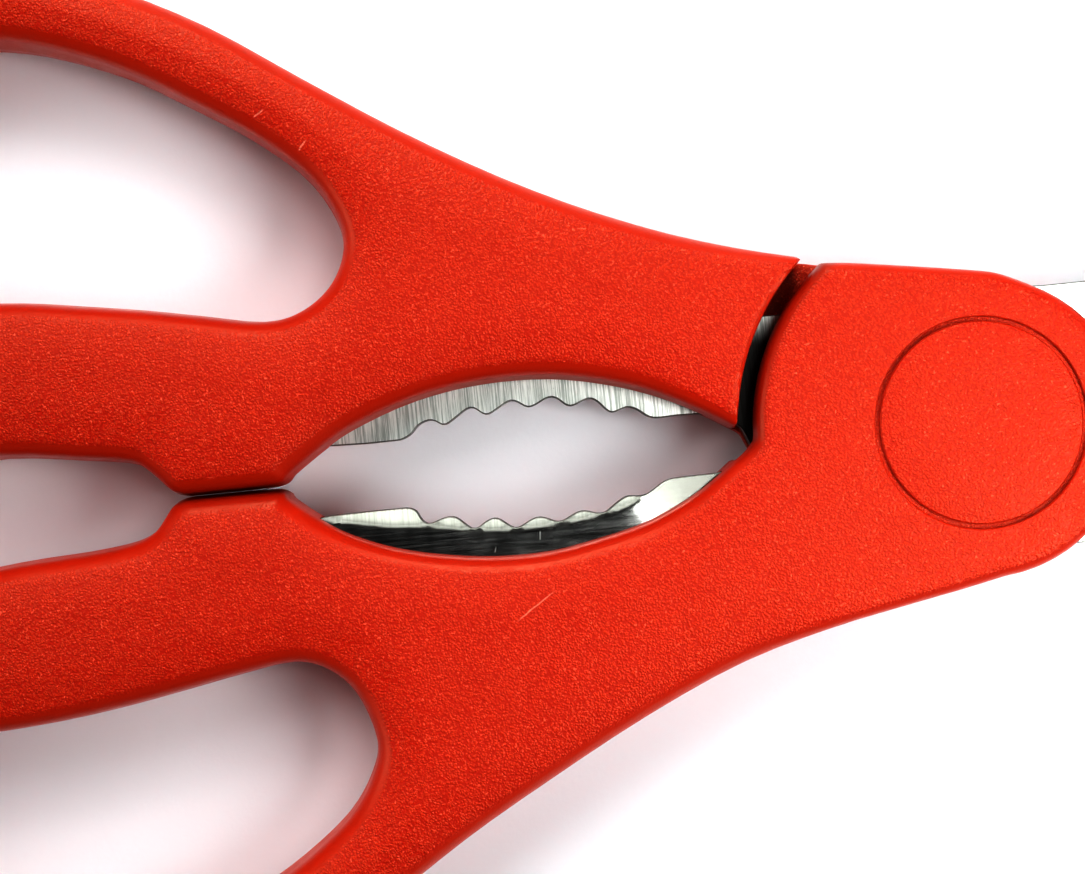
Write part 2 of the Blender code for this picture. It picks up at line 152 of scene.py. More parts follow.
HONED_WIDTH = 0.8 * MM
HONED_THICKNESS = 0.14 * MM
FRICTION_POCKET_RADIUS = 8.6 * MM
FRICTION_POCKET_WALL = 0.06 * MM
FRICTION_POCKET_DEPTH = 0.45 * MM
NECK_SLOT_HALF = 3.1 * MM
BLADE_BORE_RADIUS = 3.3 * MM
BLADE_SHARP_ANGLE = 12

# Ground faces of the front jaw
FACET_LINE = np.array([
    (-72.0, -2.6), (-64.0, -2.9), (-60.0, -3.6), (-56.5, -4.3), (-53.0, -4.6), (-48.7, -5.4),
    (-44.7, -5.75), (-40.5, -5.6), (-36.3, -5.2), (-32.5, -4.1), (-30.0, -3.6), (-20.0, -3.4)]) * MM
FACET_SLOPE = math.tan(math.radians(27))
FACET_SOFTNESS = 0.40 * MM
FACET_LEFT = (-76 * MM, -70 * MM)
FACET_RIGHT = (-23 * MM, -21 * MM)
HEEL_START = (-33.2 * MM, -4.4 * MM)
HEEL_DIRECTION = (0.80, 0.60)
HEEL_SLOPE = math.tan(math.radians(9))
HEEL_SOFTNESS = 0.8 * MM
HEEL_BOTTOM = (-16 * MM, -11 * MM)

# Red plastic.  Colours in pairs are blended by noise, noise scales are per millimetre, normals
# are the range of the normal's Z that a mask rises over, and radii are from the pivot, in
# millimetres
DEEP_REDS = ((0.40, 0.008, 0.0008), (0.44, 0.010, 0.0010))
HIGH_REDS = ((0.51, 0.028, 0.0030), (0.55, 0.034, 0.0036))
SCRATCH_RED = (0.9, 0.30, 0.20)
# Painted highlight: the colour of the lighter dots that stand in for glints in the grain
PAINTED_GLINT_COLOUR = (0.85, 0.14, 0.07)
# Painted shade: the dark red put on the hub's rim beside the gap
PAINTED_GAP_SHADE_RED = (0.10, 0.001, 0.0003)
PLASTIC_GLINT = (1.0, 0.80, 0.50, 1.0)
PLASTIC_IOR = 1.49
GRAIN_DEPTH = 0.045 * MM
PEBBLE_SCALE = 4.3
PEBBLE_SMOOTHNESS = 0.45
PEBBLE_WARP_SCALE = 1.1
PEBBLE_WARP = (0.35, 0.35, 0.35)
MEDIUM_GRAIN_SCALE = 2.2
MEDIUM_GRAIN = 0.8
FINE_GRAIN_SCALE = 10.0
FINE_GRAIN = 0.28
WALL_GRAIN = 0.12
FLAT_NORMALS = (0.82, 0.95)
BROAD_SCALE = 0.07
# Where and how strongly the painted glint highlights are laid on
GLINT_SCALE = 3.4
GLINT_RANGE = (0.655, 0.73)
GLINT_STRENGTH = 0.55
# Where and how strongly the painted shade by the hub's gap is laid on
HUB_RIM_RADII = (19.7, 21.8)
HUB_SHADE_START = (-2.0, 1.5)
HUB_SHADE_STRENGTH = 0.75
BEHIND_PIVOT = (-6.0, -9.0)
SCRATCH_DEPTH = 0.8
SCRATCH_STRENGTH = 0.55
WEAR_SCALE = 0.45
FACE_ROUGHNESS = (0.40, 0.50)
RIM_ROUGHNESS = (0.30, 0.40)

# Steel
BRUSHED_STEELS = ((0.45, 0.50, 0.45), (0.96, 1.0, 0.95))
POLISHED_STEELS = ((0.30, 0.31, 0.29), (0.52, 0.53, 0.51))
MACHINED_STEELS = ((0.42, 0.42, 0.41), (0.66, 0.66, 0.64))
STAINED_STEEL = (0.28, 0.24, 0.20)
HEEL_STEEL = (0.36, 0.37, 0.33)
FACET_STEEL = (0.13, 0.135, 0.115)
SIDE_STEEL = (0.07, 0.07, 0.06)
PIT_STEEL = (0.20, 0.19, 0.18)
# Painted shade: the near-black put on the steel in the hub's gap
PAINTED_GAP_SHADE_GREY = (0.010, 0.008, 0.007)
BRUSH_DEPTH = 0.006 * MM
TURNING_DEPTH = 0.01 * MM
ACROSS_SCALES = (5.6, 0.12, 0.3)
ACROSS_FINE_SCALES = (21.0, 0.5, 0.5)
ALONG_SCALES = (0.16, 6.0, 0.3)
OUTER_NORMALS = (0.975, 0.995)
INNER_NORMALS = (-0.5, -0.9)
HEEL_NORMALS = (0.982, 0.95)
GROUND_NORMALS = ((0.998, 0.990), (0.6, 0.8))
GROUND_STRENGTH = 0.9
SIDE_NORMALS = (0.7, 0.3)
# Where and how strongly the painted shade on the steel in the hub's gap is laid on
GAP_RADII = ((25.0, 24.6), (24.4, 23.2))
GAP_START = (-13.5, -9.5)
GAP_SHADE_STRENGTH = 0.97
PIT_SCALE = 5.5
PIT_RANGE = (0.70, 0.78)
PIT_STRENGTH = 0.5
CLOUD_SCALE = 0.3
NICK_ROUGHNESS = 0.55

# Nylon and floor
NYLONS = ((0.74, 0.71, 0.63), (0.86, 0.84, 0.78))
NYLON_DEPTH = 0.02 * MM
FLOOR_COLOUR = (0.86, 0.885, 0.91)
FLOOR_CLOUD = 0.985
FLOOR_DEPTH = 0.03 * MM
FLOOR_REACH = 3
FLOOR_DROP = 0.05 * MM

# Marks: centre, angle in degrees, length and width, with lengths in millimetres
FRONT_SCRATCHES = [((-43.4, -13.1), 31.0, 5.2, 0.10)]
FRONT_NICKS = [((-42.3, -6.6), 84.0, 1.1, 0.07), ((-46.9, -7.5), 70.0, 0.7, 0.05)]
BACK_SCRATCHES = [((-65.0, 35.8), 36.0, 1.4, 0.14), ((-61.2, 32.4), 47.0, 1.4, 0.14)]

# Camera and light
AIM = Vector((-40 * MM, 0.0, MIDDLE))
CAMERA_TILT = math.radians(0.5)
CAMERA_ROLL = math.radians(5.65)
CAMERA_DISTANCE = 226.0 * MM
CAMERA_TARGET = Vector((-41.267 * MM, 2.765 * MM, MIDDLE))
CAMERA_LENS = 77.61
DISPLAY_GAMMA = 0.67


def to_half(point, turned):
    """A world point in its half's own frame: front face up, middle plane at z = 0."""
    x, y, z = point
    return (x, -y, MIDDLE - z) if turned else (x, y, z - MIDDLE)


def half_matrix(turned):
    matrix = Matrix.Translation((0.0, 0.0, MIDDLE))
    if turned:
        matrix = matrix @ Matrix.Rotation(math.pi, 4, "X")
    return matrix


def section_loops(node, height, turned):
    """Closed outlines of a CAD node cut at a height of its half's frame, longest first."""
    body = bmesh.new()
    body.from_mesh(bpy.data.objects[node].data)
    for vert in body.verts:
        vert.co = to_half(vert.co, turned)
    bmesh.ops.remove_doubles(body, verts=body.verts, dist=CUT_WELD)
    cut = bmesh.ops.bisect_plane(
        body, geom=body.verts[:] + body.edges[:] + body.faces[:], dist=CUT_TOLERANCE,
        plane_co=(0.0, 0.0, height), plane_no=(0.0, 0.0, 1.0))["geom_cut"]
    neighbours = {}
    for edge in (item for item in cut if isinstance(item, bmesh.types.BMEdge)):
        first, second = (tuple(round(c, 7) for c in vert.co[:2]) for vert in edge.verts)
        neighbours.setdefault(first, []).append(second)
        neighbours.setdefault(second, []).append(first)
    body.free()
    loops = []
    unused = set(neighbours)
    while unused:
        start = min(unused)
        loop = [start]
        unused.discard(start)
        current = start
        while True:
            ahead = sorted(point for point in neighbours[current] if point in unused)
            if not ahead:
                break
            current = ahead[0]
            unused.discard(current)
            loop.append(current)
        loops.append(counterclockwise(np.array(loop)))
    return sorted(loops, key=lambda loop: -np.ptp(loop[:, 0]))


def counterclockwise(loop):
    x, y = loop.T
    area = (x * np.roll(y, -1) - np.roll(x, -1) * y).sum()
    return loop if area > 0 else loop[::-1]


def without_short_edges(loop, shortest):
    kept = [loop[0]]
    for point in loop[1:]:
        if np.linalg.norm(point - kept[-1]) > shortest:
            kept.append(point)
    return np.array(kept)


def smooth_loop(loop, spacing):
    """A closed Catmull-Rom curve through the loop's points, with a point about every spacing."""
    count = len(loop)
    run = []
    for index in range(count):
        p0, p1, p2, p3 = (loop[(index + shift) % count] for shift in (-1, 0, 1, 2))
        steps = max(1, round(np.linalg.norm(p2 - p1) / spacing))
        for step in range(steps):
            t = step / steps
            run.append(0.5 * (
                2 * p1 + (p2 - p0) * t + (2 * p0 - 5 * p1 + 4 * p2 - p3) * t ** 2
                + (3 * p1 - p0 - 3 * p2 + p3) * t ** 3))
    return np.array(run)


def moved_in(loop, distance):
    """A counterclockwise loop moved inwards along its own normals."""
    along = np.roll(loop, -1, axis=0) - np.roll(loop, 1, axis=0)
    along /= np.linalg.norm(along, axis=1)[:, None]
    return loop + distance * np.stack([-along[:, 1], along[:, 0]], axis=1)


def circle(radius, count):
    angles = np.linspace(0, 2 * math.pi, count, endpoint=False)
    return np.stack([radius * np.cos(angles), radius * np.sin(angles)], axis=1)


def signed_distance(points, loop):
    """Distance from 2-D points to a closed loop, negative inside it."""
    along = np.roll(loop, -1, axis=0) - loop
    length_squared = (along ** 2).sum(axis=1)
    rise = np.where(np.abs(along[:, 1]) < 1e-12, 1e-12, along[:, 1])
    result = np.empty(len(points))
    for low in range(0, len(points), DISTANCE_BATCH):
        batch = points[low:low + DISTANCE_BATCH, None, :]
        offset = batch - loop[None]
        t = np.clip((offset * along[None]).sum(axis=2) / length_squared, 0.0, 1.0)
        gap = offset - t[..., None] * along[None]
        distance = np.sqrt((gap ** 2).sum(axis=2).min(axis=1))
        y = batch[..., 1]
        y0 = loop[None, :, 1]
        crosses = (y0 > y) != (y0 + along[None, :, 1] > y)
        x_cross = loop[None, :, 0] + (y - y0) / rise[None] * along[None, :, 0]
        inside = (crosses & (batch[..., 0] < x_cross)).sum(axis=1) % 2 == 1
        result[low:low + DISTANCE_BATCH] = np.where(inside, -distance, distance)
    return result


def smoothstep(low, high, value):
    t = np.clip((value - low) / (high - low), 0.0, 1.0)
    return t * t * (3 - 2 * t)


def rounded_overlap(first, second, radius):
    """Distance to what two solids share, with the edge between them rounded."""
    over_first = np.maximum(first + radius, 0.0)
    over_second = np.maximum(second + radius, 0.0)
    return np.minimum(np.maximum(first, second), -radius) + np.hypot(over_first, over_second)


def link(obj):
    bpy.context.scene.collection.objects.link(obj)
    return obj


def mesh_object(name, points, faces):
    mesh = bpy.data.meshes.new(name)
    mesh.from_pydata(points, [], faces)
    mesh.update()
    return link(bpy.data.objects.new(name, mesh))


def handle_solid(name, outer, hole):
    """Drafted walls, filleted rims and crowned faces, cleared where the other half turns."""
    low = outer.min(axis=0) - GRID_MARGIN
    high = outer.max(axis=0) + GRID_MARGIN
    xs = np.arange(low[0], high[0], VOXEL)
    ys = np.arange(low[1], high[1], VOXEL)
    zs = np.arange(-HALF - GRID_MARGIN, HALF + GRID_MARGIN, VOXEL)
    grid_x, grid_y = np.meshgrid(xs, ys, indexing="ij")
    points = np.stack([grid_x.ravel(), grid_y.ravel()], axis=1)
    wall = np.maximum(signed_distance(points, outer), -signed_distance(points, hole))
    wall = wall.reshape(grid_x.shape) + WALL_INSET
    from_pivot = np.hypot(grid_x, grid_y)
    on_arm = smoothstep(*HUB_TO_ARM, from_pivot)
    fillet = HUB_FILLET + (ARM_FILLET - HUB_FILLET) * on_arm
    inward = np.clip(-wall / CROWN_REACH, 0.0, 1.0)
    crown_share = HUB_CROWN_SHARE + (1.0 - HUB_CROWN_SHARE) * on_arm
    face = HALF - CROWN * crown_share * (1.0 - inward) ** 2
    z = zs[None, None, :]
    off_hub = smoothstep(HUB_CLEAR_RADIUS, DRAFT_BLEND_RADIUS, from_pivot)
    drafted = np.maximum(np.abs(z) - PLATE_UNDER * (1.0 - off_hub)[..., None], 0.0) * DRAFT
    field = rounded_overlap(
        wall[..., None] + drafted, np.abs(z) - face[..., None], fillet[..., None])
    cleared = np.minimum((HUB_CLEAR_RADIUS - from_pivot)[..., None], PLATE_UNDER - z)
    field = rounded_overlap(field, cleared, HUB_END_ROUNDING)
    grid = openvdb.FloatGrid(FIELD_LIMIT)
    grid.copyFromArray(np.clip(field, -FIELD_LIMIT, FIELD_LIMIT).astype(np.float32))
    verts, quads = grid.convertToQuads(isovalue=0.0)
    verts = verts * VOXEL + np.array([xs[0], ys[0], zs[0]])
    handle = mesh_object(name, verts.tolist(), quads.tolist())
    body = bmesh.new()
    body.from_mesh(handle.data)
    if body.calc_volume(signed=True) < 0:
        bmesh.ops.reverse_faces(body, faces=body.faces)
    body.to_mesh(handle.data)
    body.free()
    return handle


def prism(name, loop, low, high):
    count = len(loop)
    points = [(x, y, low) for x, y in loop] + [(x, y, high) for x, y in loop]
    ends = [tuple(range(count))[::-1], tuple(range(count, 2 * count))]
    sides = [(i, (i + 1) % count, (i + 1) % count + count, i + count) for i in range(count)]
    return mesh_object(name, points, ends + sides)


def turned(name, profile):
    """A profile of (radius, height) pairs, from the top's centre down its outer side to the
    bottom's centre, turned about Z."""
    sides = TURNED_SIDES
    points = []
    rows = []
    for radius, height in profile:
        if radius == 0:
            rows.append([len(points)] * sides)
            points.append((0.0, 0.0, height))
            continue
        rows.append(list(range(len(points), len(points) + sides)))
        points += [(x, y, height) for x, y in circle(radius, sides)]
    faces = []
    for upper, lower in zip(rows, rows[1:]):
        for i in range(sides):
            j = (i + 1) % sides
            face = dict.fromkeys((upper[i], lower[i], lower[j], upper[j]))
            faces.append(tuple(face))
    return mesh_object(name, points, faces)


def subtract(target, *cutters):
    for cutter in cutters:
        boolean = target.modifiers.new("Cut", "BOOLEAN")
        boolean.operation = "DIFFERENCE"
        boolean.solver = "MANIFOLD"
        boolean.object = cutter
    bpy.context.view_layer.update()
    depsgraph = bpy.context.evaluated_depsgraph_get()
    mesh = bpy.data.meshes.new_from_object(target.evaluated_get(depsgraph))
    target.modifiers.clear()
    target.data = mesh
    for cutter in cutters:
        bpy.data.objects.remove(cutter, do_unlink=True)


def finish_piece(piece, is_turned, sharp_angle, material, body, nodes):
    piece.data.transform(half_matrix(is_turned))
    piece.data.shade_smooth()
    piece.data.set_sharp_from_angle(angle=math.radians(sharp_angle))
    piece.data.materials.clear()
    piece.data.materials.append(material)
    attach(piece, body)
    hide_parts(*nodes)


def plate(name, outer, holes, rings, interior, top, bottom):
    """A thin plate: one set of triangles for both faces, each vertex at its face's own height."""
    rounding = [moved_in(outer, share * EDGE_ROUNDING) for share in (ROUNDING_MIDDLE, 1.0)]
    constrained = [outer] + rounding + holes + rings
    points = []
    edges = []
    for loop in constrained:
        first = len(points)
        points += [tuple(point) for point in loop]
        edges += [(first + i, first + (i + 1) % len(loop)) for i in range(len(loop))]
    free = interior[signed_distance(interior, outer) < -RIM_CLEARANCE]
    for loop in holes + rings:
        free = free[np.abs(signed_distance(free, loop)) > RING_CLEARANCE]
    points += [tuple(point) for point in free]
    scaled = [Vector((x / MM, y / MM)) for x, y in points]
    verts, _, faces = delaunay_2d_cdt(scaled, edges, [], 0, TRIANGULATION_TOLERANCE, False)[:3]
    flat = np.array([tuple(vert) for vert in verts]) * MM
    faces = np.array([list(face) for face in faces])
    centres = flat[faces].mean(axis=1)
    keep = signed_distance(centres, outer) < 0
    for hole in holes:
        keep &= signed_distance(centres, hole) > 0
    faces = faces[keep]
    depth = -signed_distance(flat, outer)
    rim = 1.0 - np.clip(depth / EDGE_ROUNDING, 0.0, 1.0)
    drop = EDGE_ROUNDING * (1.0 - np.sqrt(1.0 - rim ** 2))
    upper = top(flat)
    lower = bottom(flat)
    drop = np.minimum(drop, THINNEST_SHARE * (upper - lower))
    count = len(flat)
    solid = [(x, y, z) for (x, y), z in zip(flat, upper - drop)]
    solid += [(x, y, z) for (x, y), z in zip(flat, lower + drop)]
    skin = [tuple(int(v) for v in face) for face in faces]
    skin += [tuple(int(v) + count for v in face[::-1]) for face in faces]
    directed = {(int(a), int(b)) for face in faces for a, b in zip(face, np.roll(face, -1))}
    skin += [(b, a, a + count, b + count) for a, b in sorted(directed) if (b, a) not in directed]
    piece = mesh_object(name, solid, skin)
    body = bmesh.new()
    body.from_mesh(piece.data)
    loose = [vert for vert in body.verts if not vert.link_faces]
    bmesh.ops.delete(body, geom=loose, context="VERTS")
    body.to_mesh(piece.data)
    body.free()
    return piece


# Blade shapes, in each half's own frame

def grind_height(points):
    """Top of the ground bevel and its honed edge, from the cutting edge line."""
    start = np.array(CUTTING_EDGE_START)
    along = np.array(CUTTING_EDGE_END) - start
    along /= np.linalg.norm(along)
    offset = points - start
    ahead = offset @ along
    across = offset @ np.array([-along[1], along[0]])
    ground = BLADE_INNER + GRIND_FLAT + np.maximum(across, 0.0) * GRIND_SLOPE
    honed_rise = (GRIND_FLAT - HONED_THICKNESS) / HONED_WIDTH + GRIND_SLOPE
    honed = BLADE_INNER + HONED_THICKNESS + np.maximum(across, 0.0) * honed_rise
    run_out = np.maximum(-ahead - GRIND_RUN_OUT, 0.0) * GRIND_RUN_OUT_SLOPE
    return np.minimum(ground, honed) + run_out


def with_friction_pocket(points, height):
    radius = np.hypot(points[:, 0], points[:, 1])
    outside = FRICTION_POCKET_RADIUS + FRICTION_POCKET_WALL
    wall = 1.0 - smoothstep(FRICTION_POCKET_RADIUS, outside, radius)
    return height + FRICTION_POCKET_DEPTH * wall


def lower_height(points):
    return with_friction_pocket(points, np.full(len(points), BLADE_INNER))


def soft_positive(value, softness):
    return 0.5 * (value + np.sqrt(value ** 2 + softness ** 2))


def front_top(points):
    """The front jaw is ground along its teeth, and across its heel."""
    x, y = points.T
    toothed = y - np.interp(x, FACET_LINE[:, 0], FACET_LINE[:, 1])
    on_jaw = smoothstep(*FACET_LEFT, x) * (1.0 - smoothstep(*FACET_RIGHT, x))
    facet = FACET_SLOPE * soft_positive(toothed, FACET_SOFTNESS) * on_jaw
    past_heel = (x - HEEL_START[0]) * HEEL_DIRECTION[0] + (y - HEEL_START[1]) * HEEL_DIRECTION[1]
    heel = HEEL_SLOPE * soft_positive(past_heel, HEEL_SOFTNESS) * on_jaw
    heel *= smoothstep(*HEEL_BOTTOM, y)
    height = BLADE_OUTER - np.maximum(facet, heel)
    return np.minimum(height, grind_height(points))


def back_top(points):
    return np.minimum(np.full(len(points), BLADE_OUTER), grind_height(points))


def hex_grid(low, high, spacing):
    rows = np.arange(low[1], high[1], spacing * math.sqrt(3) / 2)
    points = []
    for index, y in enumerate(rows):
        xs = np.arange(low[0] + (index % 2) * spacing / 2, high[0], spacing)
        points.append(np.stack([xs, np.full(len(xs), y)], axis=1))
    return np.concatenate(points)


def blade_interior(outer):
    low = outer.min(axis=0)
    high = outer.max(axis=0)
    coarse = hex_grid(low, high, COARSE_SPACING)
    in_jaw = (coarse[:, 0] < FINE_RIGHT) & (coarse[:, 1] > FINE_BOTTOM)
    fine = hex_grid((FINE_LEFT, FINE_BOTTOM), (FINE_RIGHT, high[1]), FINE_SPACING)
    return np.concatenate([coarse[~in_jaw], fine])


def eased(loop):
    """The jaw's stretch of a blade outline with its corners eased, and the rest as it was."""
    dense = smooth_loop(loop, EASING_SPACING)
    steps = np.arange(-EASING_STEPS, EASING_STEPS + 1)
    weights = np.exp(-0.5 * (steps * EASING_SPACING / EASING_REACH) ** 2)
    weights /= weights.sum()
    averaged = sum(weight * np.roll(dense, -step, axis=0) for step, weight in zip(steps, weights))
    x, y = dense.T
    on_jaw = smoothstep(*EASED_LEFT, x) * (1.0 - smoothstep(*EASED_RIGHT, x))
    on_jaw *= smoothstep(*EASED_EDGE, y)
    return dense + on_jaw[:, None] * (averaged - dense)


def blade_piece(name, is_turned, holes, top, material):
    section = section_loops(name, BLADE_CUT_HEIGHT, is_turned)[0]
    dense = eased(without_short_edges(section, SHORTEST_CUT_EDGE))
    outer = without_short_edges(dense, BLADE_SPACING)
    rings = [
        circle(FRICTION_POCKET_RADIUS, RING_SIDES),
        circle(FRICTION_POCKET_RADIUS + FRICTION_POCKET_WALL, RING_SIDES)]
    blade = plate(
        name + "_looks", outer, holes, rings, blade_interior(outer), top, lower_height)
    body = name.replace("blade", "half")
    finish_piece(blade, is_turned, BLADE_SHARP_ANGLE, material, body, [name])
    return outer


# Shader graph helpers

def new_material(name):
    material = bpy.data.materials.new(name)
    material.use_nodes = True
    tree = material.node_tree
    return material, tree, tree.nodes["Principled BSDF"]


def add(tree, kind, inputs=None, **settings):
    """A node with its settings and its inputs, which are values or other nodes' outputs."""
    node = tree.nodes.new("ShaderNode" + kind)
    for key, value in settings.items():
        setattr(node, key, value)
    for key, value in (inputs or {}).items():
        if isinstance(value, bpy.types.NodeSocket):
            tree.links.new(value, node.inputs[key])
        else:
            node.inputs[key].default_value = value
    return node


def calc(tree, operation, first, second=0.0, third=0.0, clamp=False):
    return add(
        tree, "Math", {0: first, 1: second, 2: third},
        operation=operation, use_clamp=clamp).outputs[0]


def ramp(tree, value, low, high, to_low=0.0, to_high=1.0):
    return add(tree, "MapRange", {
        "Value": value, "From Min": low, "From Max": high, "To Min": to_low, "To Max": to_high},
        interpolation_type="SMOOTHSTEP").outputs["Result"]


def blend_colour(tree, factor, first, second):
    node = add(tree, "Mix", {0: factor}, data_type="RGBA")
    for socket, colour in ((node.inputs[6], first), (node.inputs[7], second)):
        if isinstance(colour, bpy.types.NodeSocket):
            tree.links.new(colour, socket)
        else:
            socket.default_value = (*colour, 1.0)
    return node.outputs[2]


def millimetres(tree):
    """Object coordinates in millimetres, and the object normal's Z."""
    coords = add(tree, "TexCoord")
    scaled = add(tree, "VectorMath", {
        0: coords.outputs["Object"], "Scale": 1.0 / MM}, operation="SCALE")
    normal = add(tree, "SeparateXYZ", {0: coords.outputs["Normal"]})
    return scaled.outputs[0], normal.outputs["Z"]


def stretched(tree, vector, scales):
    return add(tree, "Mapping", {"Vector": vector, "Scale": scales}).outputs[0]


def noise(tree, vector, scale, detail, roughness=0.5):
    return add(tree, "TexNoise", {
        "Vector": vector, "Scale": scale, "Detail": detail, "Roughness": roughness}).outputs["Fac"]


def scratch(tree, vector, centre, angle, length, width):
    """A thin line on the surface, fading to its ends: 1 on the line and 0 away from it."""
    moved = add(tree, "VectorMath", {0: vector, 1: (-centre[0], -centre[1], 0.0)}, operation="ADD")
    along = add(tree, "VectorRotate", {
        "Vector": moved.outputs[0], "Angle": -math.radians(angle)}, rotation_type="Z_AXIS")
    parts = add(tree, "SeparateXYZ", {0: along.outputs[0]})
    bend = noise(tree, vector, 0.35, 2.0)
    off_line = calc(tree, "ADD", parts.outputs["Y"], calc(tree, "MULTIPLY_ADD", bend, 0.8, -0.4))
    line = ramp(tree, calc(tree, "ABSOLUTE", off_line), width, 0.2 * width)
    reach = ramp(tree, calc(tree, "ABSOLUTE", parts.outputs["X"]), length / 2, length / 4)
    return calc(tree, "MULTIPLY", line, reach)


def pivot_distance(tree, place):
    level = add(tree, "VectorMath", {0: place, 1: (1.0, 1.0, 0.0)}, operation="MULTIPLY")
    return add(tree, "VectorMath", {0: level.outputs[0]}, operation="LENGTH").outputs["Value"]


def side_of(tree, place, side_sign, low, high):
    """A ramp across the blade line, towards one side of it, and only behind the pivot."""
    parts = add(tree, "SeparateXYZ", {0: place})
    across = ramp(tree, calc(tree, "MULTIPLY", parts.outputs["Y"], side_sign), low, high)
    return calc(tree, "MULTIPLY", across, ramp(tree, parts.outputs["X"], *BEHIND_PIVOT))


def mix_value(tree, factor, first, second):
    return add(tree, "Mix", {0: factor, 2: first, 3: second}, data_type="FLOAT").outputs[0]


def set_bump(tree, shader, height, depth, strength=1.0):
    bump = add(tree, "Bump", {"Height": height, "Distance": depth, "Strength": strength})
    tree.links.new(bump.outputs[0], shader.inputs["Normal"])


def moulded_grain(tree, place, flat):
    """The grain's height, weaker on the walls, and the pebbles that it is made of."""
    warp = add(tree, "TexNoise", {"Vector": place, "Scale": PEBBLE_WARP_SCALE, "Detail": 2.0})
    warped = add(tree, "VectorMath", {
        0: warp.outputs["Color"], 1: PEBBLE_WARP, 2: place}, operation="MULTIPLY_ADD")
    cells = add(tree, "TexVoronoi", {
        "Vector": warped.outputs[0], "Scale": PEBBLE_SCALE, "Smoothness": PEBBLE_SMOOTHNESS},
        feature="SMOOTH_F1")
    pebbles = ramp(tree, cells.outputs["Distance"], 0.05, 0.75, 1.0, 0.0)
    fine = noise(tree, place, FINE_GRAIN_SCALE, 3.0, 0.6)
    medium = noise(tree, place, MEDIUM_GRAIN_SCALE, 2.0, 0.5)
    lumps = calc(tree, "MULTIPLY_ADD", medium, MEDIUM_GRAIN, pebbles)
    grain = calc(tree, "MULTIPLY_ADD", fine, FINE_GRAIN, lumps)
    weight = calc(tree, "MULTIPLY_ADD", flat, 1.0 - WALL_GRAIN, WALL_GRAIN)
    return calc(tree, "MULTIPLY", grain, weight), pebbles


def red_plastic(name, side_sign, scratches):
    """Grained red plastic: painted highlights as glints in the grain, a few scratches, and painted
    shade on the hub's rim by the gap.
    """
    material, tree, shader = new_material(name)
    place, normal_z = millimetres(tree)
    flat = ramp(tree, calc(tree, "ABSOLUTE", normal_z), *FLAT_NORMALS)
    grain, pebbles = moulded_grain(tree, place, flat)
    marks = 0.0
    for mark in scratches:
        marks = calc(tree, "MAXIMUM", marks, scratch(tree, place, *mark))
    height = calc(tree, "SUBTRACT", grain, calc(tree, "MULTIPLY", marks, SCRATCH_DEPTH))
    set_bump(tree, shader, height, GRAIN_DEPTH)
    broad = noise(tree, place, BROAD_SCALE, 4.0, 0.6)
    deep = blend_colour(tree, broad, *DEEP_REDS)
    high = blend_colour(tree, broad, *HIGH_REDS)
    on_pebble = calc(tree, "SUBTRACT", pebbles, 0.5)
    tone = calc(tree, "MULTIPLY_ADD", on_pebble, flat, 0.55, clamp=True)
    colour = blend_colour(tree, tone, deep, high)
    # Painted highlights: lighter dots in the colour that stand in for glints
    glints = ramp(tree, noise(tree, place, GLINT_SCALE, 1.0, 0.5), *GLINT_RANGE)
    glints = calc(tree, "MULTIPLY", glints, calc(tree, "MULTIPLY", flat, GLINT_STRENGTH))
    colour = blend_colour(tree, glints, colour, PAINTED_GLINT_COLOUR)
    # Painted shade: the hub's rim by the gap is darkened
    hub_rim = ramp(tree, pivot_distance(tree, place), *HUB_RIM_RADII)
    at_gap = calc(tree, "MULTIPLY", hub_rim, side_of(tree, place, side_sign, *HUB_SHADE_START))
    colour = blend_colour(tree, calc(tree, "MULTIPLY", at_gap, HUB_SHADE_STRENGTH), colour, PAINTED_GAP_SHADE_RED)
    scratched = calc(tree, "MULTIPLY", marks, SCRATCH_STRENGTH)
    colour = blend_colour(tree, scratched, colour, SCRATCH_RED)
    tree.links.new(colour, shader.inputs["Base Color"])
    wear = noise(tree, place, WEAR_SCALE, 5.0, 0.7)
    rough_face = ramp(tree, wear, 0.3, 0.7, *FACE_ROUGHNESS)
    rough_rim = ramp(tree, wear, 0.3, 0.7, *RIM_ROUGHNESS)
    tree.links.new(mix_value(tree, flat, rough_rim, rough_face), shader.inputs["Roughness"])
    shader.inputs["IOR"].default_value = PLASTIC_IOR
    shader.inputs["Specular Tint"].default_value = PLASTIC_GLINT
    return material


